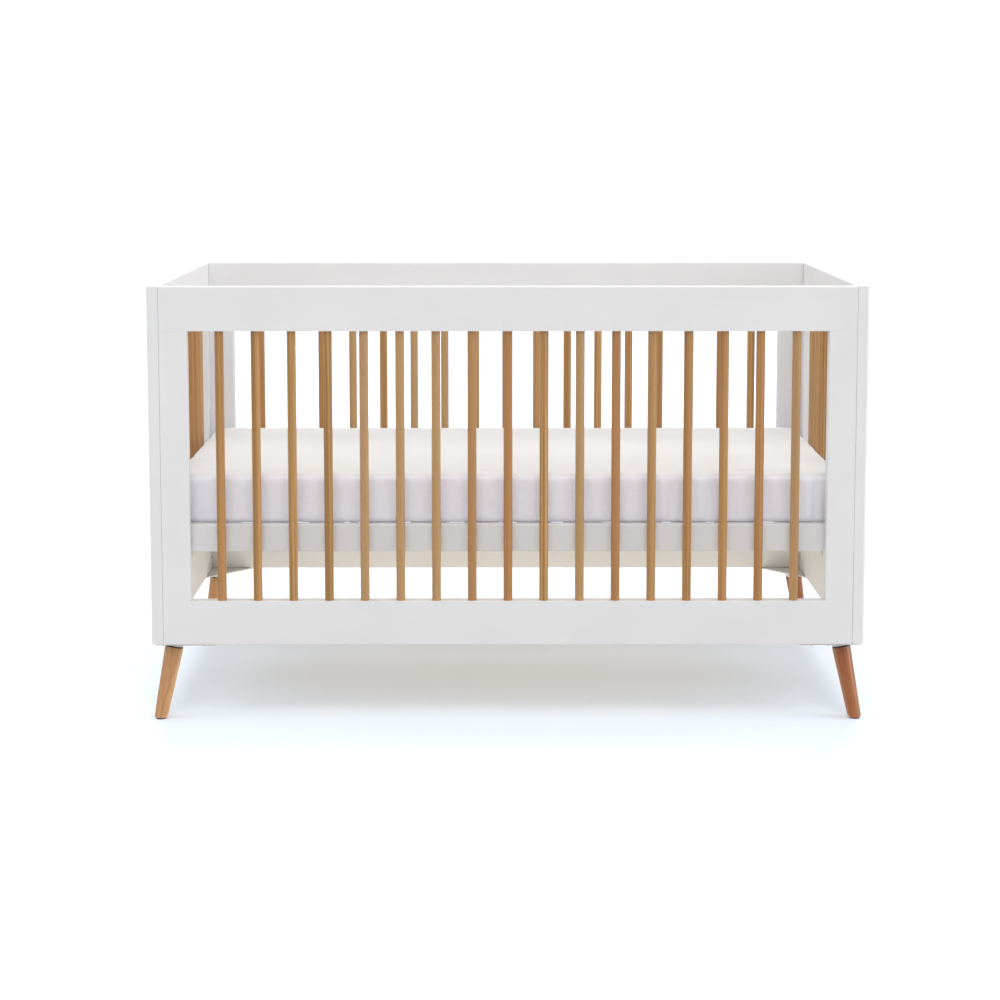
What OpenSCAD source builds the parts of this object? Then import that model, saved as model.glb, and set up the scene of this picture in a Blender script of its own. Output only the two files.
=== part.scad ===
// Baby crib: two spindle side panels bolted between two full-depth spindle end panels,
// splayed turned legs on angled steel brackets, a slatted base that hooks over support bolts,
// and a loose mattress.
// +X runs along the length, the front faces -Y, +Z is up. Origin: centre of the footprint on the floor.

/* [Overall] */
// Clear length between the end panels
inside_length = 1404; // [1300:1:1450]
// Clear width between the side panels
inside_width = 708; // [660:1:760]
// Height of the top rails above the floor
height = 890; // [860:1:980]
// Height of the underside of the panels above the floor
floor_gap = 158; // [140:1:170]

/* [Panels] */
// Thickness of the end panels
end_thickness = 24; // [22:1:32]
// Thickness of the side panels
side_thickness = 28; // [24:1:30]
// Height of every top and bottom rail
rail_height = 90; // [80:1:100]
// Width of every stile
stile_width = 56; // [54:1:70]
// Diameter of the turned spindles
spindle_d = 18; // [14:1:18]
// Number of spindles in each side panel
side_spindle_count = 17; // [12:1:18]
// Number of spindles in each end panel
end_spindle_count = 8; // [6:1:9]
// Rounding of the outer edges of the end panels
end_rounding = 6; // [3:0.5:8]
// Rounding of the outer top edges of the end panels
end_top_rounding = 3; // [1:0.5:6]
// Rounding of the outer edges of the side panels
side_rounding = 2; // [1:0.5:3]

/* [Legs] */
// Diameter at the top of a leg
leg_top_d = 38; // [34:1:40]
// Diameter at the foot of a leg
leg_foot_d = 27; // [24:1:30]
// Outward lean of each leg, seen from the front and from the side
leg_splay = 10.2; // [6:0.1:12]

/* [Base and mattress] */
// Height of the slats' top above the floor at the middle setting
base_top = 401; // [395:1:420]
// Height between two settings of the base
setting_step = 111; // [100:1:112]
// Height of the base frame's rails
base_rail_height = 56; // [50:1:60]
// Thickness of the base frame's rails
base_rail_thickness = 24; // [20:1:28]
// Number of slats
slat_count = 12; // [10:1:13]
// Width of a slat
slat_width = 70; // [60:1:72]
// Thickness of the mattress
mattress_thickness = 100; // [60:1:120]

/* [Hidden] */
$fn = 48;
fit = 0.05;              // radial clearance of a glued, screwed or threaded fit
eps = 0.01;              // overshoot of a cut that ends flush with a face
past = 1;                // overshoot of a cut that runs right through

in_x = inside_length / 2;
in_y = inside_width / 2;
out_x = in_x + end_thickness;
out_y = in_y + side_thickness;
mid_x = in_x + end_thickness / 2;    // middle of an end panel's thickness
mid_y = in_y + side_thickness / 2;   // middle of a side panel's thickness
low_top = floor_gap + rail_height;   // top of the bottom rails
high_low = height - rail_height;     // underside of the top rails

seam_ease = 0.7;         // easing of the edges that meet at the upright seams
seam_gap = 0.5;          // shadow gap along the upright seams between side and end panels
seam_depth = 4;
inner_ease = 0.7;        // easing of the edges round the spindle opening
spindle_depth = 12;      // how far a spindle's end sits in its rail

side_opening = inside_length - 2 * stile_width;
side_gap = (side_opening - side_spindle_count * spindle_d) / (side_spindle_count + 1);
side_spindle_x = [for (i = [0 : side_spindle_count - 1])
    -side_opening / 2 + side_gap + spindle_d / 2 + i * (side_gap + spindle_d)];
end_opening = 2 * out_y - 2 * stile_width;
end_gap = (end_opening - end_spindle_count * spindle_d) / (end_spindle_count + 1);
end_spindle_y = [for (i = [0 : end_spindle_count - 1])
    -end_opening / 2 + end_gap + spindle_d / 2 + i * (end_gap + spindle_d)];

// Dowels: two in each joint of a stile and a rail, one in each joint of a side rail and an end rail
dowel_d = 8;
dowel_l = 40;
stile_dowel_offset = 14;
panel_dowel_in_end = 12;
panel_dowel_z = [floor_gap + rail_height / 2, height - rail_height / 2];
side_dowel_x = [in_x - stile_width / 2 - stile_dowel_offset, in_x - stile_width / 2 + stile_dowel_offset];
end_dowel_y = [out_y - stile_width / 2 - stile_dowel_offset, out_y - stile_width / 2 + stile_dowel_offset];

// Connector bolts: through each end stile into a barrel nut in the side stile
connector_z = [low_top + 72, high_low - 50];    // clear of the panel dowels and the inserts
connector_d = 6;
connector_l = 62;
connector_head_d = 15;
connector_head_h = 2.6;
hex_key_d = 4.6;
hex_key_depth = 1.8;
barrel_d = 10;
barrel_l = side_thickness - 10;
barrel_inset = 28;       // from the seam to the barrel nut's axis
barrel_x = in_x - barrel_inset;

// Support bolts and their threaded inserts, at three heights in each end stile
support_inset = 14;      // from the side panel's inner face to the bolt's axis
support_rise = 52;       // from the bottom rail's top to the middle bolt
support_y = in_y - support_inset;
support_z = low_top + support_rise;
insert_z = [support_z - setting_step, support_z, support_z + setting_step];
insert_d = 12;
insert_l = 18;
thread_d = 8;
shoulder_d = 10;
support_head_d = 18;
support_head_h = 5;
support_key_d = 5.6;
support_key_depth = 3;
slide_gap = 0.3;         // clearance between parts that move past one another

// Leg brackets: a steel plate under the rails with an angled boss for the leg
plate_t = 2.5;
plate_inset_x = 8;       // from the end panel's outer face to the plate's edge
plate_inset_y = 5;       // from the side panel's outer face to the plate's edge
plate_l_x = 128;
plate_l_y = 140;
plate_tip = 7;           // width left at the cut-off tips of the plate
plate_top = floor_gap;
boss_d = 38;
washer_t = 3.2;
washer_d = 36.5;
leg_bolt_in_leg = 40;
leg_bolt_in_boss = 9;
leg_inset_x = 15;        // from the end panel's inner face to the leg's top
leg_inset_y = 16;        // from the side panel's inner face to the leg's top
leg_x = in_x - leg_inset_x;
leg_y = in_y - leg_inset_y;
leg_drop = 15.5;         // from the rails' underside to the middle of the leg's top
leg_top_z = floor_gap - leg_drop;
leg_slope = tan(leg_splay);
leg_tilt = atan(leg_slope * sqrt(2));
leg_axis_l = leg_top_z / cos(leg_tilt);
pad_h = 3;
pad_d = 21;
foot_chamfer = 2.5;
foot_x = leg_x + (leg_top_z - pad_h) * leg_slope;
foot_y = leg_y + (leg_top_z - pad_h) * leg_slope;
bracket_screw_xy = [[in_x - 47, mid_y], [in_x - 82, mid_y], [mid_x, in_y - 54], [mid_x, in_y - 89]];
bracket_screw_d = 4;
bracket_screw_l = 25;
bracket_screw_head_d = 9;
bracket_screw_head_h = 2.8;

// Base: hook boards at the ends, side and end rails between them, slats on cleats
base_side_gap = 2;       // between the base and the side panels
hook_end_gap = 0.5;      // between a hook board and the end panel
hook_t = 19.5;
hook_out_x = in_x - hook_end_gap;
hook_in_x = hook_out_x - hook_t;
hook_low = support_z - 29;
hook_top = base_top - 2;
hook_half_y = in_y - base_side_gap;
base_low = base_top - base_rail_height;
base_out_y = in_y - base_side_gap;
base_in_y = base_out_y - base_rail_thickness;
base_in_x = hook_in_x - base_rail_thickness;
base_ease = 2;
base_dowel_l = 36;
base_dowel_inset = 16;   // from the base rail's top and underside to the dowels
base_dowel_z = [base_low + base_dowel_inset, base_top - base_dowel_inset];
slat_t = 12;
slat_ease = 1.5;
slat_gap = (2 * base_in_x - slat_count * slat_width) / (slat_count + 1);
slat_x = [for (i = [0 : slat_count - 1])
    -base_in_x + slat_gap + slat_width / 2 + i * (slat_gap + slat_width)];
cleat = 20;
slat_screw_d = 3.5;
slat_screw_l = 26;
slat_screw_head_d = 7;
slat_screw_head_h = 2;
hook_bolt_d = 6;
hook_bolt_y = [-300, -100, 100, 300];
hook_bolt_z = base_top - base_rail_height / 2;
hook_bolt_l = base_rail_thickness + 14;
hook_bolt_head_d = 13;
hook_bolt_head_h = 3.2;
cap_y = 110;
cap_z = support_z - 11;  // between the hook board's lower edge and its bolts
cap_d = 12;
cap_plug_d = 8;
cap_plug_l = 10;
cap_t = 2;

mattress_gap_x = 4;
mattress_gap_y = 5;
mattress_lift_gap = 0.5; // between the slats and the mattress
mattress_corner = 22;

paint = [0.93, 0.93, 0.935];
beech = [0.74, 0.56, 0.36];
leg_beech = [0.76, 0.57, 0.42];
pine = [0.86, 0.74, 0.55];
steel = [0.72, 0.73, 0.75];
rubber = [0.16, 0.13, 0.12];
brass_colour = [0.78, 0.66, 0.36];
ticking = [0.93, 0.92, 0.90];

// Copies the +X +Y version of a piece to the side given by the signs sx and sy
module at_corner(sx, sy) {
    mirror([sx < 0 ? 1 : 0, 0, 0]) mirror([0, sy < 0 ? 1 : 0, 0]) children();
}

module at_all_corners() {
    for (sx = [-1, 1], sy = [-1, 1]) at_corner(sx, sy) children();
}

// Rectangle with its own rounding at each corner: r = [low left, low right, high right, high left]
module eased_rect(w, h, r) {
    at = [[0, 0], [w, 0], [w, h], [0, h]];
    toward = [[1, 1], [-1, 1], [-1, -1], [1, -1]];
    difference() {
        square([w, h]);
        for (i = [0 : 3])
            translate(at[i] + [min(0, toward[i][0]), min(0, toward[i][1])] * r[i]) square(r[i]);
    }
    for (i = [0 : 3]) translate(at[i] + toward[i] * r[i]) circle(r[i], $fn = 32);
}

// Prism along X over a YZ section, along Y over an XZ section
module along_x(length) {
    rotate([90, 0, 90]) linear_extrude(length) children();
}

module along_y(length) {
    translate([0, length, 0]) rotate([90, 0, 0]) linear_extrude(length) children();
}

// Round bars on a given axis
module bar_x(length, d) {
    rotate([0, 90, 0]) cylinder(h = length, d = d);
}

module bar_y(length, d) {
    rotate([-90, 0, 0]) cylinder(h = length, d = d);
}

// Shadow gaps down the ends of a side panel, on its inner and its outer face
module seam_cut() {
    for (y = [in_y - past, out_y - seam_depth])
        translate([in_x - seam_gap, y, floor_gap - past])
            cube([seam_gap + past, seam_depth + past, height - floor_gap + 2 * past]);
}

// ---- side panels, modelled at +Y ----

module side_rail(top) {
    low = top ? high_low : floor_gap;
    outer = [top ? inner_ease : side_rounding, top ? side_rounding : inner_ease];
    inner_z = top ? high_low : low_top;
    color(paint) difference() {
        intersection() {
            translate([-in_x, in_y, low]) along_x(inside_length)
                eased_rect(side_thickness, rail_height, [outer[0], outer[0], outer[1], outer[1]]);
            translate([-in_x, in_y, low - past]) linear_extrude(rail_height + 2 * past)
                eased_rect(inside_length, side_thickness, [seam_ease, seam_ease, seam_ease, seam_ease]);
        }
        for (x = side_spindle_x) translate([x, mid_y, inner_z - spindle_depth])
            cylinder(h = 2 * spindle_depth, d = spindle_d + 2 * fit);
        for (sx = [-1, 1]) mirror([sx < 0 ? 1 : 0, 0, 0]) {
            for (x = side_dowel_x) translate([x, mid_y, inner_z - dowel_l / 2 - fit])
                cylinder(h = dowel_l + 2 * fit, d = dowel_d + 2 * fit);
            seam_cut();
            panel_dowel_cut(top ? 1 : 0);
            if (!top) bracket_screw_cuts();
        }
    }
}

module side_stile() {
    color(paint) difference() {
        translate([in_x - stile_width, in_y, low_top]) linear_extrude(high_low - low_top)
            eased_rect(stile_width, side_thickness, [inner_ease, seam_ease, seam_ease, inner_ease]);
        for (x = side_dowel_x, z = [low_top, high_low]) translate([x, mid_y, z - dowel_l / 2 - fit])
            cylinder(h = dowel_l + 2 * fit, d = dowel_d + 2 * fit);
        seam_cut();
        for (z = connector_z) {
            connector_cut(z);
            translate([barrel_x, in_y - eps, z]) bar_y(mid_y - in_y + barrel_l / 2 + fit + eps,
                                                      barrel_d + 2 * fit);
        }
    }
}

module side_spindles() {
    color(beech) for (x = side_spindle_x) translate([x, mid_y, low_top - spindle_depth])
        cylinder(h = high_low - low_top + 2 * spindle_depth, d = spindle_d);
}

// ---- end panels, modelled at +X ----

module end_rail(top) {
    low = top ? high_low : floor_gap;
    inner_z = top ? high_low : low_top;
    section = top ? [inner_ease, inner_ease, end_top_rounding, side_rounding]
                  : [side_rounding, end_rounding, inner_ease, inner_ease];
    color(paint) difference() {
        intersection() {
            translate([in_x, -out_y, low]) along_y(2 * out_y)
                eased_rect(end_thickness, rail_height, section);
            translate([in_x, -out_y, low - past]) linear_extrude(rail_height + 2 * past)
                eased_rect(end_thickness, 2 * out_y, [seam_ease, end_rounding, end_rounding, seam_ease]);
        }
        for (y = end_spindle_y) translate([mid_x, y, inner_z - spindle_depth])
            cylinder(h = 2 * spindle_depth, d = spindle_d + 2 * fit);
        for (sy = [-1, 1]) {
            for (y = end_dowel_y) translate([mid_x, sy * y, inner_z - dowel_l / 2 - fit])
                cylinder(h = dowel_l + 2 * fit, d = dowel_d + 2 * fit);
            mirror([0, sy < 0 ? 1 : 0, 0]) panel_dowel_cut(top ? 1 : 0);
            if (!top) mirror([0, sy < 0 ? 1 : 0, 0]) {
                bracket_screw_cuts();
                insert_cut(insert_z[0]);
            }
        }
    }
}

module end_stile() {
    color(paint) difference() {
        translate([in_x, out_y - stile_width, low_top]) linear_extrude(high_low - low_top)
            eased_rect(end_thickness, stile_width, [inner_ease, inner_ease, end_rounding, seam_ease]);
        for (y = end_dowel_y, z = [low_top, high_low]) translate([mid_x, y, z - dowel_l / 2 - fit])
            cylinder(h = dowel_l + 2 * fit, d = dowel_d + 2 * fit);
        for (z = connector_z) connector_cut(z);
        insert_cut(insert_z[1]);
        insert_cut(insert_z[2]);
    }
}

module end_spindles() {
    color(beech) for (y = end_spindle_y) translate([mid_x, y, low_top - spindle_depth])
        cylinder(h = high_low - low_top + 2 * spindle_depth, d = spindle_d);
}

// ---- dowels, bolts and nuts of the panels, modelled at +X +Y ----

module panel_dowel_cut(i) {
    translate([in_x + panel_dowel_in_end - dowel_l - fit, mid_y, panel_dowel_z[i]])
        bar_x(dowel_l + 2 * fit, dowel_d + 2 * fit);
}

module panel_dowels() {
    color(pine) at_all_corners() for (z = panel_dowel_z)
        translate([in_x + panel_dowel_in_end - dowel_l, mid_y, z]) bar_x(dowel_l, dowel_d);
}

module stile_dowels() {
    color(pine) at_all_corners() for (z = [low_top, high_low]) {
        for (x = side_dowel_x) translate([x, mid_y, z - dowel_l / 2]) cylinder(h = dowel_l, d = dowel_d);
        for (y = end_dowel_y) translate([mid_x, y, z - dowel_l / 2]) cylinder(h = dowel_l, d = dowel_d);
    }
}

module connector_cut(z) {
    translate([out_x - connector_l - past, mid_y, z])
        bar_x(connector_l + 2 * past, connector_d + 2 * fit);
    translate([out_x - connector_head_h - fit, mid_y, z])
        bar_x(connector_head_h + fit + past, connector_head_d + 2 * fit);
}

module connector_bolts() {
    color(steel) at_all_corners() for (z = connector_z) difference() {
        union() {
            translate([out_x - connector_l, mid_y, z]) bar_x(connector_l, connector_d);
            translate([out_x - connector_head_h, mid_y, z]) bar_x(connector_head_h, connector_head_d);
        }
        translate([out_x - hex_key_depth, mid_y, z]) rotate([0, 90, 0])
            cylinder(h = hex_key_depth + past, d = hex_key_d, $fn = 6);
    }
}

module barrel_nuts() {
    color(steel) at_all_corners() for (z = connector_z) difference() {
        translate([barrel_x, mid_y - barrel_l / 2, z]) bar_y(barrel_l, barrel_d);
        translate([barrel_x - barrel_d, mid_y, z]) bar_x(2 * barrel_d, connector_d + 2 * fit);
    }
}

module insert_cut(z) {
    translate([in_x - past, support_y, z]) bar_x(insert_l + fit + past, insert_d + 2 * fit);
}

module threaded_inserts() {
    color(brass_colour) at_all_corners() for (z = insert_z) difference() {
        translate([in_x, support_y, z]) bar_x(insert_l, insert_d);
        translate([in_x - past, support_y, z]) bar_x(insert_l + 2 * past, thread_d + 2 * fit);
    }
}

// Shouldered bolt: its thread is in the middle insert, its shoulder carries the hook board
module support_bolts() {
    head_x = hook_in_x - slide_gap - support_head_h;
    thread_end = 2;      // left free at the bottom of the insert
    color(steel) at_all_corners() difference() {
        union() {
            translate([head_x, support_y, support_z]) bar_x(support_head_h, support_head_d);
            translate([head_x, support_y, support_z]) bar_x(in_x - head_x, shoulder_d);
            translate([head_x, support_y, support_z])
                bar_x(in_x - head_x + insert_l - thread_end, thread_d);
        }
        translate([head_x - past, support_y, support_z]) rotate([0, 90, 0])
            cylinder(h = support_key_depth + past, d = support_key_d, $fn = 6);
    }
}

// ---- legs, modelled at +X +Y ----

// Frame on a leg's own axis: origin at the middle of the leg's top, +Z up the leg
module on_leg_axis() {
    translate([leg_x, leg_y, leg_top_z]) rotate([0, leg_tilt, 225]) children();
}

module leg() {
    overshoot = 10;
    top_ease = 1;
    narrowing = (leg_top_d - leg_foot_d) / 2 / leg_axis_l;
    color(leg_beech) difference() {
        intersection() {
            on_leg_axis() {
                translate([0, 0, -leg_axis_l - overshoot])
                    cylinder(h = leg_axis_l + overshoot - top_ease,
                             r1 = leg_foot_d / 2 - narrowing * overshoot,
                             r2 = leg_top_d / 2 - narrowing * top_ease, $fn = 64);
                translate([0, 0, -top_ease])
                    cylinder(h = top_ease, r1 = leg_top_d / 2 - narrowing * top_ease,
                             r2 = leg_top_d / 2 - top_ease, $fn = 64);
            }
            translate([foot_x, foot_y, pad_h])
                cylinder(h = 2 * leg_top_z, r1 = leg_foot_d / 2 - foot_chamfer,
                         r2 = leg_foot_d / 2 - foot_chamfer + 2 * leg_top_z, $fn = 64);
        }
        on_leg_axis() translate([0, 0, -leg_bolt_in_leg - fit])
            cylinder(h = leg_bolt_in_leg + fit + past, d = thread_d + 2 * fit);
    }
}

// Rubber washer between the leg's top and the bracket's boss
module leg_washers() {
    color(rubber) at_all_corners() on_leg_axis() difference() {
        cylinder(h = washer_t, d = washer_d);
        translate([0, 0, -past]) cylinder(h = washer_t + 2 * past, d = thread_d + 2 * fit);
    }
}

module leg_bolts() {
    color(steel) at_all_corners() on_leg_axis() translate([0, 0, -leg_bolt_in_leg])
        cylinder(h = leg_bolt_in_leg + washer_t + leg_bolt_in_boss, d = thread_d);
}

module leg_bracket() {
    px = out_x - plate_inset_x;
    py = out_y - plate_inset_y;
    rise = plate_l_y / plate_l_x;
    color(paint) difference() {
        union() {
            translate([0, 0, plate_top - plate_t]) linear_extrude(plate_t)
                polygon([[px, py], [px - plate_l_x + plate_tip / rise, py],
                         [px - plate_l_x + plate_tip / rise, py - plate_tip],
                         [px - plate_tip, py - plate_l_y + plate_tip * rise],
                         [px, py - plate_l_y + plate_tip * rise]]);
            intersection() {
                on_leg_axis() translate([0, 0, washer_t]) cylinder(h = 2 * leg_drop, d = boss_d);
                translate([leg_x - boss_d, leg_y - boss_d, 0])
                    cube([2 * boss_d, 2 * boss_d, plate_top - plate_t / 2]);
            }
        }
        on_leg_axis() cylinder(h = washer_t + leg_bolt_in_boss + fit, d = thread_d + 2 * fit);
        for (p = bracket_screw_xy) translate([p[0], p[1], plate_top - plate_t - past])
            cylinder(h = plate_t + 2 * past, d = bracket_screw_d + 2 * fit);
    }
}

module bracket_screw_cuts() {
    for (p = bracket_screw_xy) translate([p[0], p[1], plate_top - past])
        cylinder(h = bracket_screw_l - plate_t + fit + past, d = bracket_screw_d + 2 * fit);
}

module bracket_screws() {
    under = plate_top - plate_t;
    color(steel) at_all_corners() for (p = bracket_screw_xy) {
        translate([p[0], p[1], under]) cylinder(h = bracket_screw_l, d = bracket_screw_d);
        translate([p[0], p[1], under - bracket_screw_head_h])
            cylinder(h = bracket_screw_head_h, d1 = bracket_screw_head_d / 2, d2 = bracket_screw_head_d);
    }
}

module foot_pad() {
    color(rubber) translate([foot_x, foot_y, 0]) cylinder(h = pad_h, d1 = pad_d - 1, d2 = pad_d);
}

// ---- base ----

module base_side_rail() {
    color(paint) difference() {
        translate([-hook_in_x, base_in_y, base_low]) along_x(2 * hook_in_x)
            eased_rect(base_rail_thickness, base_rail_height, [base_ease, base_ease, base_ease, base_ease]);
        for (sx = [-1, 1]) mirror([sx < 0 ? 1 : 0, 0, 0]) base_dowel_cuts();
    }
}

module base_end_rail() {
    color(paint) difference() {
        translate([base_in_x, -base_in_y, base_low])
            cube([base_rail_thickness, 2 * base_in_y, base_rail_height]);
        for (sy = [-1, 1]) mirror([0, sy < 0 ? 1 : 0, 0]) base_dowel_cuts();
        hook_board_bolt_cuts();
    }
}

// Dowels in the corners of the base frame
module base_dowel_cuts() {
    for (z = base_dowel_z)
        translate([base_in_x + base_rail_thickness / 2, base_in_y - base_dowel_l / 2 - fit, z])
            bar_y(base_dowel_l + 2 * fit, dowel_d + 2 * fit);
}

module base_dowels() {
    color(pine) at_all_corners() for (z = base_dowel_z)
        translate([base_in_x + base_rail_thickness / 2, base_in_y - base_dowel_l / 2, z])
            bar_y(base_dowel_l, dowel_d);
}

module base_centre_rail() {
    color(pine) translate([-base_in_x, -base_rail_thickness / 2, base_low])
        cube([2 * base_in_x, base_rail_thickness, base_rail_height - slat_t]);
}

module side_cleat() {
    color(pine) difference() {
        translate([-base_in_x, base_in_y - cleat, base_top - slat_t - cleat])
            cube([2 * base_in_x, cleat, cleat]);
        slat_screw_cuts();
    }
}

module slats() {
    color(pine) difference() {
        for (x = slat_x) translate([x - slat_width / 2, -base_in_y, base_top - slat_t])
            along_y(2 * base_in_y)
                eased_rect(slat_width, slat_t, [slat_ease, slat_ease, slat_ease, slat_ease]);
        for (sy = [-1, 1]) mirror([0, sy < 0 ? 1 : 0, 0]) {
            slat_screw_cuts();
            for (x = slat_x) translate([x, base_in_y - cleat / 2, base_top - slat_screw_head_h])
                cylinder(h = slat_screw_head_h + eps, d = slat_screw_head_d + 2 * fit);
        }
    }
}

module slat_screw_cuts() {
    for (x = slat_x) translate([x, base_in_y - cleat / 2, base_top - slat_screw_l - fit])
        cylinder(h = slat_screw_l + fit + eps, d = slat_screw_d + 2 * fit);
}

module slat_screws() {
    color(steel) for (sy = [-1, 1], x = slat_x) mirror([0, sy < 0 ? 1 : 0, 0])
        translate([x, base_in_y - cleat / 2, 0]) {
            translate([0, 0, base_top - slat_screw_l]) cylinder(h = slat_screw_l, d = slat_screw_d);
            translate([0, 0, base_top - slat_screw_head_h])
                cylinder(h = slat_screw_head_h, d = slat_screw_head_d);
        }
}

// Board at each end of the base, slotted from below so that it hooks over the support bolts
module hook_board() {
    slot_w = shoulder_d + 2 * slide_gap;
    color(paint) difference() {
        translate([hook_in_x, -hook_half_y, hook_low]) along_y(2 * hook_half_y)
            eased_rect(hook_t, hook_top - hook_low, [base_ease, base_ease, inner_ease, inner_ease]);
        for (sy = [-1, 1]) mirror([0, sy < 0 ? 1 : 0, 0]) {
            translate([hook_in_x - past, support_y - slot_w / 2, hook_low - past])
                cube([hook_t + 2 * past, slot_w, support_z - hook_low + past]);
            translate([hook_in_x - past, support_y, support_z]) bar_x(hook_t + 2 * past, slot_w);
            translate([hook_in_x - past, cap_y, cap_z])
                bar_x(cap_plug_l + fit + past, cap_plug_d + 2 * fit);
        }
        hook_board_bolt_cuts();
    }
}

module hook_board_bolt_cuts() {
    for (y = hook_bolt_y) translate([base_in_x - past, y, hook_bolt_z])
        bar_x(hook_bolt_l + fit + past, hook_bolt_d + 2 * fit);
}

module hook_board_bolts() {
    color(steel) for (sx = [-1, 1], y = hook_bolt_y) mirror([sx < 0 ? 1 : 0, 0, 0])
        translate([base_in_x, y, hook_bolt_z]) {
            bar_x(hook_bolt_l, hook_bolt_d);
            translate([-hook_bolt_head_h, 0, 0]) bar_x(hook_bolt_head_h, hook_bolt_head_d);
        }
}

// Caps in the spare fixing holes of the hook boards
module cover_caps() {
    color(paint) at_all_corners() translate([hook_in_x, cap_y, cap_z]) {
        bar_x(cap_plug_l, cap_plug_d);
        translate([-cap_t, 0, 0]) bar_x(cap_t, cap_d);
    }
}

// ---- mattress ----

module mattress() {
    w = inside_length - 2 * mattress_gap_x;
    d = inside_width - 2 * mattress_gap_y;
    low = base_top + mattress_lift_gap;
    h = mattress_thickness;
    r = mattress_corner;
    color(ticking) intersection() {
        translate([-w / 2, -d / 2, low]) linear_extrude(h) eased_rect(w, d, [r, r, r, r]);
        translate([-w / 2, -d / 2, low]) along_y(d) eased_rect(w, h, [r / 2, r / 2, r / 2, r / 2]);
        translate([-w / 2, -d / 2, low]) along_x(w) eased_rect(d, h, [r / 2, r / 2, r / 2, r / 2]);
    }
}

at_corner(1, -1) side_rail(true);  // front_top_rail
at_corner(1, -1) side_rail(false);  // front_bottom_rail
at_corner(-1, -1) side_stile();  // front_left_stile
at_corner(1, -1) side_stile();  // front_right_stile
at_corner(1, -1) side_spindles();  // front_spindles
side_rail(true);  // rear_top_rail
side_rail(false);  // rear_bottom_rail
at_corner(-1, 1) side_stile();  // rear_left_stile
side_stile();  // rear_right_stile
side_spindles();  // rear_spindles

at_corner(-1, 1) end_rail(true);  // left_end_top_rail
at_corner(-1, 1) end_rail(false);  // left_end_bottom_rail
at_corner(-1, -1) end_stile();  // left_end_front_stile
at_corner(-1, 1) end_stile();  // left_end_rear_stile
at_corner(-1, 1) end_spindles();  // left_end_spindles
end_rail(true);  // right_end_top_rail
end_rail(false);  // right_end_bottom_rail
at_corner(1, -1) end_stile();  // right_end_front_stile
end_stile();  // right_end_rear_stile
end_spindles();  // right_end_spindles

at_corner(-1, -1) leg();  // front_left_leg
at_corner(1, -1) leg();  // front_right_leg
at_corner(-1, 1) leg();  // rear_left_leg
leg();  // rear_right_leg
at_corner(-1, -1) leg_bracket();  // front_left_leg_bracket
at_corner(1, -1) leg_bracket();  // front_right_leg_bracket
at_corner(-1, 1) leg_bracket();  // rear_left_leg_bracket
leg_bracket();  // rear_right_leg_bracket
at_corner(-1, -1) foot_pad();  // front_left_foot_pad
at_corner(1, -1) foot_pad();  // front_right_foot_pad
at_corner(-1, 1) foot_pad();  // rear_left_foot_pad
foot_pad();  // rear_right_foot_pad
leg_washers();
leg_bolts();
bracket_screws();

connector_bolts();
barrel_nuts();
panel_dowels();
stile_dowels();
threaded_inserts();
support_bolts();

at_corner(1, -1) base_side_rail();  // base_front_rail
base_side_rail();  // base_rear_rail
at_corner(-1, 1) base_end_rail();  // base_left_rail
base_end_rail();  // base_right_rail
base_centre_rail();
at_corner(1, -1) side_cleat();  // front_cleat
side_cleat();  // rear_cleat
slats();
slat_screws();
base_dowels();
at_corner(-1, 1) hook_board();  // left_hook_board
hook_board();  // right_hook_board
hook_board_bolts();
cover_caps();

mattress();
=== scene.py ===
"""The baby crib's looks: materials on the CAD frame, the dressed mattress, floor, light and camera."""

import math

import bmesh
import bpy
import numpy as np
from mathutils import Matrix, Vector


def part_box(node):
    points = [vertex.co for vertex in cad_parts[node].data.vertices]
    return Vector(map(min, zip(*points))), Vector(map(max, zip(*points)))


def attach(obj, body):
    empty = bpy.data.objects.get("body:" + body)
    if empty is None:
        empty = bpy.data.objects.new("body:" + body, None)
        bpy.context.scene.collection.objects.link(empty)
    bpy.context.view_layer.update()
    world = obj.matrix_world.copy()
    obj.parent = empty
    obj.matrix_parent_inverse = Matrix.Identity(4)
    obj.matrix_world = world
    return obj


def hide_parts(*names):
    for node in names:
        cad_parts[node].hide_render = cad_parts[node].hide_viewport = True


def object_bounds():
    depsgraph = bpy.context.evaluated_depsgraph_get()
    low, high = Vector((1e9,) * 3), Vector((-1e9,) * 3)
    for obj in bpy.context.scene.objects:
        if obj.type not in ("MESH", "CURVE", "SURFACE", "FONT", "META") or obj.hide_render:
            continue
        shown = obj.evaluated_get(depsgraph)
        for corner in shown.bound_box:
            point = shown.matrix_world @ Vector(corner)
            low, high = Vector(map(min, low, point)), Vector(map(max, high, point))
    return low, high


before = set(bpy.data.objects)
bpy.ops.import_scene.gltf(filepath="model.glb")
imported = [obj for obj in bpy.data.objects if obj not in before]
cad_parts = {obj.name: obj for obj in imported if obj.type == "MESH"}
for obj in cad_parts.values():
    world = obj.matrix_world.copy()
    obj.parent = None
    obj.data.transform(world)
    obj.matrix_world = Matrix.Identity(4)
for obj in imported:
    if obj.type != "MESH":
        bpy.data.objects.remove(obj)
cad_low, cad_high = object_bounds()

X, Y, Z = Vector((1, 0, 0)), Vector((0, 1, 0)), Vector((0, 0, 1))
SIDES = ("front", "rear")
ENDS = ("left", "right")
CORNERS = [(side, end) for side in SIDES for end in ENDS]


# ---- camera ----

CAMERA_PLACE = (-0.0264, -4.4692, 1.2035)
CAMERA_TILT = 5.882          # degrees below the horizon
CAMERA_TURN = -0.143         # degrees about +Z; a negative turn looks to the right of +Y
CAMERA_SENSOR = 36           # mm
CAMERA_LENS = 73.7           # mm
CAMERA_SHIFT = -0.16         # in frame widths; lowers the view with less tilt, so uprights converge less


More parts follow.
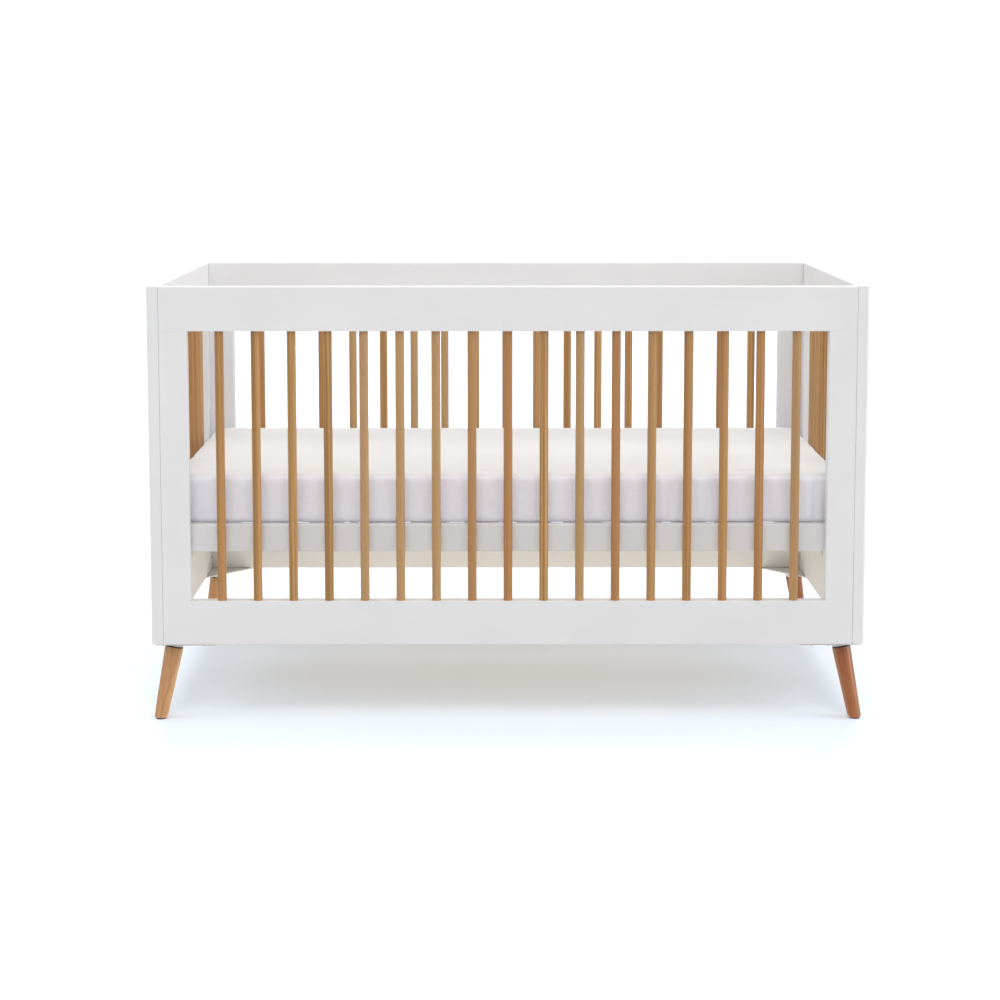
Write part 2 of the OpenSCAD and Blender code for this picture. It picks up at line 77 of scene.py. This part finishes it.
def make_camera():
    data = bpy.data.cameras.new("camera")
    data.sensor_width = CAMERA_SENSOR
    data.lens = CAMERA_LENS
    data.shift_y = CAMERA_SHIFT
    camera = bpy.data.objects.new("camera", data)
    camera.location = CAMERA_PLACE
    camera.rotation_euler = (math.radians(90 - CAMERA_TILT), 0, math.radians(CAMERA_TURN))
    bpy.context.scene.collection.objects.link(camera)
    bpy.context.scene.camera = camera


make_camera()


# ---- materials ----

def grey(value):
    return (value, value, value, 1)


def colour(red, green, blue):
    return (red, green, blue, 1)


def darker(tint, share):
    """The tint with every channel at this share of its value."""
    return colour(*(share * c for c in tint[:3]))


class Finish:
    """Builds one node material in coordinates of the row frame, in metres."""

    def __init__(self, name):
        self.material = bpy.data.materials.new(name)
        self.material.use_nodes = True
        self.tree = self.material.node_tree
        self.tree.nodes.clear()
        self.place = self.add("TexCoord", out="Object")

    def add(self, kind, inputs=(), out=0, **settings):
        """Makes a node, fills its inputs by position or by name, and returns one of its outputs, if any."""
        node = self.tree.nodes.new("ShaderNode" + kind)
        for key, value in settings.items():
            setattr(node, key, value)
        for key, value in inputs.items() if isinstance(inputs, dict) else enumerate(inputs):
            if isinstance(value, bpy.types.NodeSocket):
                self.tree.links.new(value, node.inputs[key])
            else:
                node.inputs[key].default_value = value
        return node.outputs[out] if node.outputs else None

    def math(self, operation, *values):
        return self.add("Math", values, operation=operation)

    def mix(self, share, first, second):
        return self.add("Mix", {0: share, 6: first, 7: second}, out=2, data_type="RGBA")

    def spread(self, value, low, high, to_low=0.0, to_high=1.0):
        """Maps low to high onto to_low to to_high, held at both ends."""
        return self.add("MapRange", [value, low, high, to_low, to_high])

    def noise(self, place, scale, detail=2.0, roughness=0.5, distortion=0.0):
        return self.add("TexNoise", {"Vector": place, "Scale": scale, "Detail": detail,
                                     "Roughness": roughness, "Distortion": distortion})

    def along(self, axis, across_scale, along_scale):
        """Coordinates that change fast across a piece of wood and slowly along it."""
        axis = Vector(axis).normalized()
        side = axis.orthogonal().normalized()
        scaled = (side * across_scale, axis.cross(side) * across_scale, axis * along_scale)
        parts = [self.add("VectorMath", [self.place, d], out="Value", operation="DOT_PRODUCT")
                 for d in scaled]
        return self.add("CombineXYZ", parts)

    def bump(self, height, distance, strength=1.0):
        return self.add("Bump", {"Height": height, "Distance": distance, "Strength": strength})

    def finish(self, **inputs):
        """Ends the material in a Principled shader; a name's underscores stand for spaces."""
        shader = self.add("BsdfPrincipled", {k.replace("_", " "): v for k, v in inputs.items()})
        self.add("OutputMaterial", {"Surface": shader})
        return self.material


PAINT = (colour(0.730, 0.730, 0.740), colour(0.752, 0.751, 0.757))
PAINT_OVER_GRAIN = grey(0.718)


def white_paint(name, axis):
    """Satin lacquer over wood: a fine roller texture, and the grain just telling through it."""
    f = Finish(name)
    grain = f.noise(f.along(axis, 160, 4), 1, 3, 0.55)
    cloud = f.noise(f.place, 7, 2)
    tint = f.mix(f.spread(cloud, 0.35, 0.65), *PAINT)
    tint = f.mix(f.spread(grain, 0.56, 0.78, 0, 0.35), tint, PAINT_OVER_GRAIN)
    roller = f.noise(f.place, 750, 3, 0.6)
    height = f.math("ADD", f.math("MULTIPLY", grain, 0.9), f.math("MULTIPLY", roller, 0.5))
    return f.finish(Base_Color=tint, Roughness=f.spread(roller, 0.3, 0.7, 0.36, 0.46),
                    Normal=f.bump(height, 0.00012, 0.5), Specular_IOR_Level=0.42)


def wood(name, axis, tones, fleck, rows=None, flecks=0.5, roughness=0.45):
    """Timber with streaks, fibres and short dark flecks along axis. rows = (direction, pitch, seed,
    pale tone) gives each turned bar in a row a tone of its own, and makes some of them pale."""
    f = Finish(name)
    ground, streaked, red = tones
    streak = f.noise(f.along(axis, 190, 1.2), 1, 2, 0.55, 0.3)
    fibre = f.noise(f.along(axis, 1100, 22), 1, 2, 0.6)
    tint = f.mix(f.spread(streak, 0.4, 0.6), ground, streaked)
    if rows:
        direction, pitch, seed, pale = rows
        place = f.add("VectorMath", [f.place, direction / pitch], out="Value", operation="DOT_PRODUCT")
        number = f.math("ADD", f.math("ROUND", place), seed)
        tone = f.add("TexWhiteNoise", {"W": number}, noise_dimensions="1D")
        tint = f.mix(f.math("MULTIPLY", tone, 0.75), tint, red)
        other = f.add("TexWhiteNoise", {"W": f.math("ADD", number, 0.5)}, noise_dimensions="1D")
        tint = f.mix(f.spread(other, 0.66, 0.95, 0, 0.85), tint, pale)
    else:
        cloud = f.noise(f.along(axis, 30, 5), 1, 2)
        tint = f.mix(f.spread(cloud, 0.4, 0.7, 0, 0.6), tint, red)
    tint = f.mix(f.spread(fibre, 0.45, 0.8, 0, 0.5), tint, red)
    speck = f.spread(f.noise(f.along(axis, 1500, 110), 1, 1, 0.4), 0.62, 0.74)
    tint = f.mix(f.math("MULTIPLY", speck, flecks), tint, fleck)
    height = f.math("SUBTRACT", f.math("MULTIPLY", fibre, 0.6), f.math("MULTIPLY", speck, 0.5))
    return f.finish(Base_Color=tint, Roughness=f.spread(fibre, 0.3, 0.7, roughness - 0.05, roughness + 0.1),
                    Normal=f.bump(height, 0.00015, 0.6), Specular_IOR_Level=0.5,
                    Coat_Weight=0.2, Coat_Roughness=0.3)


PINE = (colour(0.840, 0.760, 0.620), colour(0.760, 0.640, 0.470))
PINE_FIBRE = colour(0.700, 0.560, 0.390)


def pine(name, axis):
    """Planed softwood, unfinished: wide growth lines and a dry surface."""
    f = Finish(name)
    ring = f.add("TexWave", {"Vector": f.along(axis, 26, 1.1), "Scale": 1.0, "Distortion": 5.0,
                             "Detail": 2.0, "Detail Scale": 1.4}, out="Fac", wave_type="RINGS",
                 rings_direction="Z")
    fibre = f.noise(f.along(axis, 900, 14), 1, 3, 0.6)
    tint = f.mix(f.spread(ring, 0.35, 0.95), *PINE)
    tint = f.mix(f.spread(fibre, 0.4, 0.8, 0, 0.45), tint, PINE_FIBRE)
    return f.finish(Base_Color=tint, Roughness=f.spread(fibre, 0.3, 0.7, 0.62, 0.78),
                    Normal=f.bump(fibre, 0.0002, 0.7), Specular_IOR_Level=0.25)


def plated(name, tint, dull, shine, rough):
    """Plated metal with faint clouding and fine machining lines."""
    f = Finish(name)
    cloud = f.noise(f.place, 220, 3, 0.6)
    line = f.noise(f.along(X, 2600, 300), 1, 1)
    blend = f.mix(f.spread(cloud, 0.35, 0.7), tint, dull)
    return f.finish(Base_Color=blend, Metallic=shine,
                    Roughness=f.spread(cloud, 0.3, 0.7, rough - 0.06, rough + 0.1),
                    Normal=f.bump(line, 0.00003, 0.6))


def powder_coat(name, tint):
    """Powder-coated steel: an even fine orange peel."""
    f = Finish(name)
    peel = f.noise(f.place, 420, 2, 0.5)
    dust = f.noise(f.place, 14, 3)
    shade = f.mix(f.spread(dust, 0.35, 0.7, 0, 0.6), tint, darker(tint, 0.95))
    return f.finish(Base_Color=shade, Roughness=f.spread(peel, 0.3, 0.7, 0.34, 0.48),
                    Normal=f.bump(peel, 0.00012, 0.7))


def moulded(name, tint, rough):
    """Moulded plastic: a fine spark-eroded texture."""
    f = Finish(name)
    grain = f.noise(f.place, 2200, 1)
    shade = f.mix(f.noise(f.place, 40, 2), tint, darker(tint, 0.94))
    return f.finish(Base_Color=shade, Roughness=f.spread(grain, 0.3, 0.7, rough - 0.06, rough + 0.06),
                    Normal=f.bump(grain, 0.00004, 0.6))


FELT = (colour(0.028, 0.020, 0.016), colour(0.075, 0.052, 0.040))


def felt(name):
    """Dark pressed felt of a glide: matted fibres in every direction."""
    f = Finish(name)
    mat = f.noise(f.place, 900, 4, 0.7, 1.5)
    hair = f.noise(f.place, 3200, 2, 0.6, 2.0)
    tint = f.mix(f.spread(mat, 0.3, 0.7), *FELT)
    return f.finish(Base_Color=tint, Roughness=f.spread(hair, 0.3, 0.7, 0.85, 1.0),
                    Normal=f.bump(f.math("ADD", mat, hair), 0.0004, 0.9), Sheen_Weight=0.3)


COTTON = (colour(0.640, 0.627, 0.620), colour(0.665, 0.652, 0.640))
# The sides' white is painted light: lighter and bluer than the top's, it brightens the mattress's sides.
COTTON_SIDE_PAINTED_LIGHT = colour(0.825, 0.822, 0.895)
COTTON_SLUB = colour(0.620, 0.606, 0.600)
THREAD_PITCH = 0.0009
PAINTED_LIGHT_BLEND = 0.006         # height over which the top's white turns into the sides'
WRINKLE_REACH = (0.1, 0.5)   # distances from the pulled corner between which the wrinkles fade


def cotton(name, painted_light_top, pulled_corner):
    """Percale: a plain weave whose threads run along the row frame's axes on every face. Below the top's
    height the cloth is painted a lighter, bluer white: painted light that brightens the sides, and fine
    wrinkles lead to its pulled corner."""
    f = Finish(name)
    threads = 2 * math.pi / THREAD_PITCH
    parts = []
    for direction in (X, Y, Z):
        place = f.add("VectorMath", [f.place, direction * threads], out="Value", operation="DOT_PRODUCT")
        parts.append(f.math("SINE", place))
    weave = f.math("ADD", f.math("ADD", parts[0], parts[1]), parts[2])
    slub = f.noise(f.along(X, 500, 25), 1, 2)
    cloud = f.noise(f.place, 5, 2)
    tint = f.mix(f.spread(cloud, 0.35, 0.65), *COTTON)
    height_up = f.add("VectorMath", [f.place, Z], out="Value", operation="DOT_PRODUCT")
    # painted light: below the top the cloth turns to the sides' lighter, bluer white
    painted_side_light = f.spread(height_up, painted_light_top, painted_light_top - PAINTED_LIGHT_BLEND)
    tint = f.mix(painted_side_light, tint, COTTON_SIDE_PAINTED_LIGHT)
    tint = f.mix(f.spread(slub, 0.6, 0.8, 0, 0.3), tint, COTTON_SLUB)
    wrinkle = f.noise(f.along(X + 0.12 * Y, 70, 3), 1, 3, 0.6)
    away = f.add("VectorMath", [f.place, pulled_corner], out="Value", operation="DISTANCE")
    wrinkle = f.math("MULTIPLY", wrinkle, f.spread(away, *WRINKLE_REACH, 1.0, 0.12))
    rumple = f.bump(wrinkle, 0.006, 1.0)
    fine = f.add("Bump", {"Height": f.math("ADD", f.math("MULTIPLY", weave, 0.3), slub),
                          "Distance": 0.00008, "Strength": 0.5, "Normal": rumple})
    return f.finish(Base_Color=tint, Roughness=f.spread(slub, 0.3, 0.7, 0.82, 0.92), Normal=fine,
                    Sheen_Weight=0.2, Specular_IOR_Level=0.2)


# ---- the CAD nodes' finishes ----

# Each timber has a ground tone, a darker one for its streaks, and a redder one.
BEECH = (colour(0.500, 0.280, 0.096), colour(0.280, 0.152, 0.041), colour(0.360, 0.145, 0.037))
LEG_BEECH = (colour(0.520, 0.260, 0.105), colour(0.450, 0.205, 0.075), colour(0.340, 0.120, 0.040))
BEECH_PALE_BAR = colour(0.440, 0.270, 0.120)
BEECH_FLECK = colour(0.220, 0.105, 0.042)
LEG_FLECK = colour(0.180, 0.070, 0.028)
SPINDLE_SEED = 3
SEED_STEP = 40               # between the seeds of two panels
# The left legs are paler and yellower than the right ones.
LEG_TINT = {"left": (1.04, 1.17, 1.28), "right": (0.70, 0.50, 0.37)}


def dress(names, material):
    for name in names:
        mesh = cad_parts[name].data
        mesh.materials.clear()
        mesh.materials.append(material)


def spindle_pitch(node, axis_index, bar_width):
    """Distance between two neighbouring spindles of a panel, from the gaps in its node's points."""
    places = sorted({round(v.co[axis_index], 5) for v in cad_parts[node].data.vertices})
    starts = [places[0]] + [b for a, b in zip(places, places[1:]) if b - a > bar_width]
    return starts[1] - starts[0]


def dress_panels():
    painted = {name: white_paint("paint_along_" + name, axis)
               for name, axis in (("x", X), ("y", Y), ("z", Z))}
    for side in SIDES:
        dress([f"{side}_top_rail", f"{side}_bottom_rail"], painted["x"])
        dress([f"{side}_{end}_stile" for end in ENDS], painted["z"])
    for end in ENDS:
        dress([f"{end}_end_top_rail", f"{end}_end_bottom_rail"], painted["y"])
        dress([f"{end}_end_{side}_stile" for side in SIDES], painted["z"])
    dress(["base_front_rail", "base_rear_rail"], painted["x"])
    dress(["base_left_rail", "base_right_rail", "left_hook_board", "right_hook_board"], painted["y"])


def dress_spindles():
    for number, (node, direction, index) in enumerate((
            ("front_spindles", X, 0), ("rear_spindles", X, 0),
            ("left_end_spindles", Y, 1), ("right_end_spindles", Y, 1))):
        low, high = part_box(node)
        thickness = min(high.x - low.x, high.y - low.y)
        pitch = spindle_pitch(node, index, thickness)
        rows = (direction, pitch, SPINDLE_SEED + SEED_STEP * number, BEECH_PALE_BAR)
        dress([node], wood(node + "_beech", Z, BEECH, BEECH_FLECK, rows, flecks=0.25, roughness=0.38))


def dress_legs():
    for side, end in CORNERS:
        leg_low, leg_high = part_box(f"{side}_{end}_leg")
        pad_low, pad_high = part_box(f"{side}_{end}_foot_pad")
        foot, middle = (pad_low + pad_high) / 2, (leg_low + leg_high) / 2
        tones = [colour(*(t * c for t, c in zip(LEG_TINT[end], tone))) for tone in LEG_BEECH]
        dress([f"{side}_{end}_leg"], wood(f"{side}_{end}_leg_beech", middle - foot, tones, LEG_FLECK,
                                          flecks=0.7, roughness=0.42))


def dress_base():
    dress(["slats", "base_dowels"], pine("pine_along_y", Y))
    dress(["front_cleat", "rear_cleat", "base_centre_rail", "panel_dowels"], pine("pine_along_x", X))
    dress(["stile_dowels"], pine("pine_along_z", Z))


def dress_hardware():
    corners = [f"{side}_{end}" for side, end in CORNERS]
    dress([c + "_leg_bracket" for c in corners], powder_coat("white_powder_coat", grey(0.66)))
    dress([c + "_foot_pad" for c in corners], felt("glide_felt"))
    # The leg washers are near-black: painted shade for the shadow in the gap between each bracket and its
    # leg.
    dress(["leg_washers"], moulded("washer_painted_shade", grey(0.03), 0.7))
    dress(["cover_caps"], moulded("cap_plastic", colour(0.70, 0.70, 0.69), 0.4))
    dress(["leg_bolts", "bracket_screws", "connector_bolts", "barrel_nuts", "support_bolts",
           "slat_screws", "hook_board_bolts"],
          plated("zinc_plate", colour(0.60, 0.61, 0.63), colour(0.44, 0.45, 0.48), 0.95, 0.32))
    dress(["threaded_inserts"],
          plated("brass", colour(0.72, 0.55, 0.26), colour(0.50, 0.36, 0.15), 0.95, 0.35))


dress_panels()
dress_spindles()
dress_legs()
dress_base()
dress_hardware()


# ---- mattress ----

VOXEL = 0.010
COVER_CORNER = 0.03
COVER_EDGE = 0.012
COVER_MARGIN = Vector((0.005, 0.007, 0.001))    # room for the cover to swell inside the CAD block
SETTLE = 0.0025              # how far the cover starts below the slats, before it is pressed flat on them
FOLD_DEPTH = 0.0058
FOLD_LENGTHS = (0.034, 0.051, 0.083)
FOLD_TIGHTENING = 0.4        # how much closer together the folds lie towards a side's two ends
FOLD_RISE = (0.15, 0.72, 0.97)    # shares of the height: full depth from the first, fading over the last two
FOLD_LEAST = 0.2             # share of the depth that is left at the top
FOLD_PLACE = (-0.7, 0.5)     # places along a side, of -1 to 1, between which the folds deepen
FOLD_SHALLOW = 0.35          # share of the depth before the first of them
FOLD_INSET = 0.4             # how far in the folds lie on the whole, as a share of their depth
EDGE_SWELL = 0.0012
EDGE_LENGTHS = (0.13, 0.21, 0.37)
HEM_REACH = 0.03
HEM_LIFT = (-0.001, 0.0022)
HEM_LENGTHS = (0.11, 0.19, 0.43)
CREASE_INSET = 0.05          # from the front and rear edges to the creases of the pulled-down sheet
CREASE_DEPTH = 0.0022
CREASE_WIDTH = 0.009
CREASE_SWAY = 4              # how much more than the top edge the creases wander
CREASE_LENGTHS = (0.16, 0.27)


def rounded_block(name, low, high, corner, edge):
    """A closed block with rounded upright corners and softer top and bottom edges."""
    mesh = bpy.data.meshes.new(name)
    bm = bmesh.new()
    bmesh.ops.create_cube(bm, size=1)
    middle, size = (low + high) / 2, high - low
    for vert in bm.verts:
        vert.co = Vector((vert.co.x * size.x, vert.co.y * size.y, vert.co.z * size.z)) + middle
    upright = [e for e in bm.edges if abs(e.verts[0].co.z - e.verts[1].co.z) > size.z / 2]
    bmesh.ops.bevel(bm, geom=upright, offset=corner, segments=8, profile=0.5, affect="EDGES")
    level = [e for e in bm.edges if abs(e.verts[0].co.z - e.verts[1].co.z) < 1e-6
             and len({round(f.normal.z, 3) for f in e.link_faces}) == 2]
    bmesh.ops.bevel(bm, geom=level, offset=edge, segments=5, profile=0.5, affect="EDGES")
    bm.to_mesh(mesh)
    bm.free()
    piece = bpy.data.objects.new(name, mesh)
    bpy.context.scene.collection.objects.link(piece)
    return piece


def apply_modifiers(piece):
    """Replaces a piece's mesh with its evaluated one."""
    evaluated = piece.evaluated_get(bpy.context.evaluated_depsgraph_get())
    mesh = bpy.data.meshes.new_from_object(evaluated)
    piece.modifiers.clear()
    old, piece.data = piece.data, mesh
    bpy.data.meshes.remove(old)


def points_of(mesh):
    points = np.empty(len(mesh.vertices) * 3, np.float32)
    mesh.vertices.foreach_get("co", points)
    return points.reshape(-1, 3).astype(float)


def set_points(mesh, points):
    mesh.vertices.foreach_set("co", points.astype(np.float32).ravel())
    mesh.update()


def inflate(piece, frames, pressure, growth, cap):
    """Lets the cover swell as cloth, with no gravity, and holds each point within cap of its start."""
    scene = bpy.context.scene
    start = points_of(piece.data)
    cloth = piece.modifiers.new("cloth", "CLOTH")
    settings = cloth.settings
    settings.quality = 4
    settings.mass = 0.3
    settings.tension_stiffness = settings.compression_stiffness = 12
    settings.shear_stiffness = 6
    settings.bending_stiffness = 0.4
    settings.use_pressure = True
    settings.uniform_pressure_force = pressure
    settings.shrink_min = -growth
    settings.effector_weights.gravity = 0
    cloth.collision_settings.use_collision = False
    cloth.point_cache.frame_start, cloth.point_cache.frame_end = 1, frames
    for number in range(1, frames + 1):
        scene.frame_set(number)
    apply_modifiers(piece)
    scene.frame_set(1)
    moved = points_of(piece.data) - start
    length = np.linalg.norm(moved, axis=1)
    scale = cap * np.tanh(length / cap) / np.maximum(length, 1e-9)
    set_points(piece.data, start + moved * scale[:, None])


def waves(run, seed, lengths):
    """Irregular swell along a run: one sine for each length, each with its own phase."""
    phases = np.random.default_rng(seed).random(len(lengths))
    return sum(np.sin(2 * np.pi * (run / n + p)) for n, p in zip(lengths, phases)) / len(lengths)


def smooth(value, start, end):
    """Smooth step from 0 at start to 1 at end."""
    t = np.clip((value - start) / (end - start), 0, 1)
    return t * t * (3 - 2 * t)


def dress_sheet(piece, low, high):
    """Hangs the sheet: upright folds on the sides, deeper towards the right and the rear, a wavy top
    edge, an uneven lower hem and short creases where it is pulled down over the long edges."""
    # rise is the share of the height, from 0 at the hem to 1 at the top, and place runs from -1 to 1
    # along a side.
    points = points_of(piece.data)
    middle, half = (np.array(low) + np.array(high)) / 2, (np.array(high) - np.array(low)) / 2
    rise = (points[:, 2] - low.z) / (high.z - low.z)
    for seed, (across, sign) in enumerate(((1, -1), (1, 1), (0, -1), (0, 1))):
        run = points[:, 1 - across]
        near = smooth(sign * (points[:, across] - middle[across]), half[across] - HEM_REACH, half[across])
        place = run / half[1 - across]
        fold = waves(run + FOLD_TIGHTENING * run * np.abs(run), seed, FOLD_LENGTHS)
        at_hem = smooth(rise, 0.0, FOLD_RISE[0])
        at_top = 1 - (1 - FOLD_LEAST) * smooth(rise, *FOLD_RISE[1:])
        deepening = FOLD_SHALLOW + (1 - FOLD_SHALLOW) * smooth(place, *FOLD_PLACE)
        fold *= at_hem * at_top * deepening
        swell = EDGE_SWELL * waves(run, seed + 10, EDGE_LENGTHS)
        hem = HEM_LIFT[0] + (HEM_LIFT[1] - HEM_LIFT[0]) * (0.5 + 0.5 * waves(run, seed + 20, HEM_LENGTHS))
        outward = FOLD_DEPTH * (fold - FOLD_INSET) + swell * smooth(rise, 0.5, 1.0)
        points[:, across] += sign * near * outward
        points[:, 2] += near * (swell * smooth(rise, 0.6, 1.0) + hem * (1 - smooth(rise, 0.0, 0.25)))
        if across == 1:
            inset = sign * (middle[1] + sign * half[1] - points[:, 1])
            line = (inset - CREASE_INSET - CREASE_SWAY * swell) / CREASE_WIDTH
            pull = smooth(waves(run, seed + 30, CREASE_LENGTHS), -0.1, 0.7)
            points[:, 2] -= CREASE_DEPTH * np.exp(-line * line) * pull * smooth(rise, 0.8, 0.95)
    points[:, 2] = np.maximum(points[:, 2], low.z)
    set_points(piece.data, points)


def make_mattress():
    low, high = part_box("mattress")
    top = high - COVER_MARGIN
    bottom = Vector((-top.x, -top.y, low.z - SETTLE))
    piece = rounded_block("mattress_cover", bottom, top, COVER_CORNER, COVER_EDGE)
    remesh = piece.modifiers.new("remesh", "REMESH")
    remesh.mode = "VOXEL"
    remesh.voxel_size = VOXEL
    apply_modifiers(piece)
    inflate(piece, frames=20, pressure=4, growth=0.015, cap=0.005)
    subdivide = piece.modifiers.new("subdivide", "SUBSURF")
    subdivide.levels = subdivide.render_levels = 1
    apply_modifiers(piece)
    dress_sheet(piece, low, high)
    piece.data.polygons.foreach_set("use_smooth", [True] * len(piece.data.polygons))
    piece.data.materials.clear()
    piece.data.materials.append(cotton("mattress_cotton", high.z - COVER_MARGIN.z, high))
    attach(piece, "mattress")
    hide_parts("mattress")


make_mattress()


# ---- floor and light ----

FLOOR_HALF = 38
FLOOR_GAP = 0.01             # between the seen floor, the lit card under it and the grey floor below
FLOOR_TINT = colour(0.80, 0.875, 0.985)
UNDERFLOOR_TINT = grey(0.48)
BACKDROP_RADIUS = 36
BACKDROP_LIGHT = 1.1
SKY_LIGHT = 0.64
CARD_LIGHT = 0.76
CARD_GLOW = colour(1.0, 0.96, 0.87)     # a warm light, which brightens the faces turned down
CARD_TINT = colour(0.80, 0.78, 0.73)
SOFTBOXES = {                # direction towards the lamp, strength, apparent size in degrees
    "front": ((0.0, -1.0, 1.1), 1.0, 40),
    "rear": ((0.0, 1.0, 1.6), 1.2, 30),
    "left": ((-1.0, -0.1, 0.6), 0.95, 50),
    "right": ((1.0, -0.1, 0.7), 0.75, 50),
    "right_low": ((1.0, -0.2, 0.12), 1.0, 25),
}


def make_plane(name, half_x, half_y, z, material):
    mesh = bpy.data.meshes.new(name)
    corners = [(x * half_x, y * half_y, z) for x, y in ((-1, -1), (1, -1), (1, 1), (-1, 1))]
    mesh.from_pydata(corners, [], [(0, 1, 2, 3)])
    mesh.materials.append(material)
    plane = bpy.data.objects.new(name, mesh)
    bpy.context.scene.collection.objects.link(plane)
    return plane


def pale_surface(name, tint, glow=0.0, glow_tint=grey(1)):
    """Matt studio surface with the faintest mottling; a glow makes it a lit one."""
    f = Finish(name)
    tone = f.mix(f.noise(f.place, 300), tint, darker(tint, 0.98))
    return f.finish(Base_Color=tone, Roughness=1.0, Specular_IOR_Level=0.0,
                    Emission_Color=glow_tint, Emission_Strength=glow)


def make_backdrop():
    """A lit dome behind everything. It is only seen: the light comes from the sky and the softboxes."""
    mesh = bpy.data.meshes.new("backdrop")
    bm = bmesh.new()
    bmesh.ops.create_uvsphere(bm, u_segments=48, v_segments=24, radius=BACKDROP_RADIUS)
    bm.to_mesh(mesh)
    bm.free()
    mesh.materials.append(pale_surface("backdrop_white", grey(0.9), BACKDROP_LIGHT))
    dome = bpy.data.objects.new("backdrop", mesh)
    bpy.context.scene.collection.objects.link(dome)
    return dome


def make_stage():
    """The floor that is seen takes the shadow; a greyer one and a lit card just under it send light up."""
    floor = make_plane("floor", FLOOR_HALF, FLOOR_HALF, 0, pale_surface("floor_white", FLOOR_TINT))
    for seen in (floor, make_backdrop()):
        seen.visible_diffuse = seen.visible_glossy = seen.visible_shadow = False
    under = make_plane("floor_bounce", FLOOR_HALF, FLOOR_HALF, -2 * FLOOR_GAP,
                       pale_surface("floor_grey", UNDERFLOOR_TINT))
    card = make_plane("bounce_card", cad_high.x, cad_high.y, -FLOOR_GAP,
                      pale_surface("card_cream", CARD_TINT, CARD_LIGHT, CARD_GLOW))
    for unseen in (under, card):
        unseen.visible_camera = False


def make_light():
    world = bpy.data.worlds.new("studio")
    world.use_nodes = True
    sky = world.node_tree.nodes["Background"]
    sky.inputs["Color"].default_value = grey(1)
    sky.inputs["Strength"].default_value = SKY_LIGHT
    bpy.context.scene.world = world
    for name, (direction, strength, size) in SOFTBOXES.items():
        sun = bpy.data.lights.new("softbox_" + name, "SUN")
        sun.energy = strength
        sun.angle = math.radians(size)
        lamp = bpy.data.objects.new("softbox_" + name, sun)
        lamp.rotation_euler = Vector(direction).to_track_quat("Z", "Y").to_euler()
        bpy.context.scene.collection.objects.link(lamp)
    bpy.context.scene.view_settings.view_transform = "Standard"


make_stage()
make_light()
